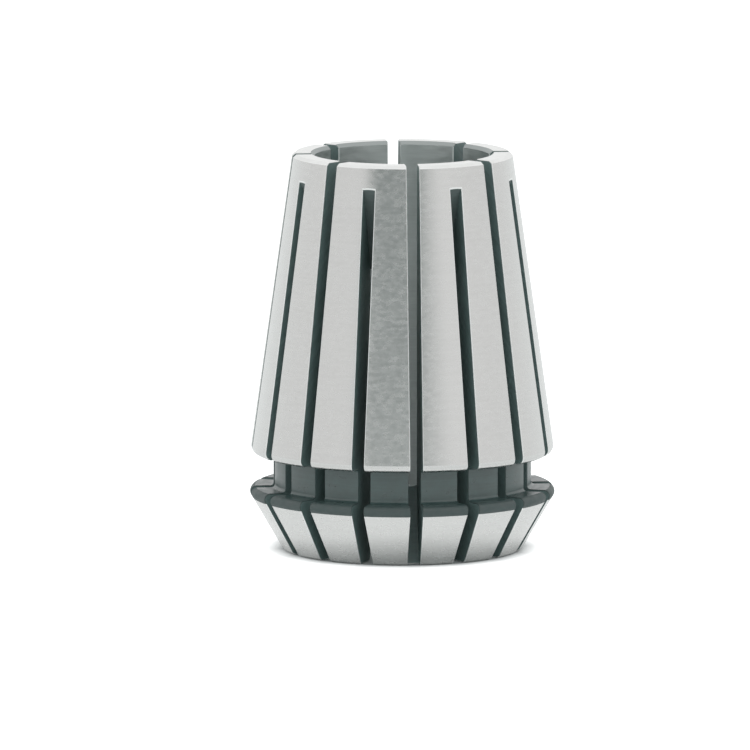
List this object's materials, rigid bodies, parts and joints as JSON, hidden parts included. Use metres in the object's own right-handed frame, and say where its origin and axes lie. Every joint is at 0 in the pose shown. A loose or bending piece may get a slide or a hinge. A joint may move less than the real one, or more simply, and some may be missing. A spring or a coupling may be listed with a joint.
{
  "type": "er collet",
  "caption": "Slotted spring collet with a tapered steel body, an extraction groove, a coned nose and a through bore that closes on a tool shank.",
  "frame": {"origin": "centre of the front (nose) face, on the axis of the bore", "axes": "+Z along the axis from the front face up to the small rear face, -Y through the middle of a slot that opens at the rear"},
  "size_m": [0.026, 0.026, 0.034],
  "materials": {
    "spring_steel": "hardened and fine-ground, bright on the cones, darker in the groove and slots"
  },
  "bodies": {
    "root": {"collet": "spring_steel"}
  },
  "joints": []
}
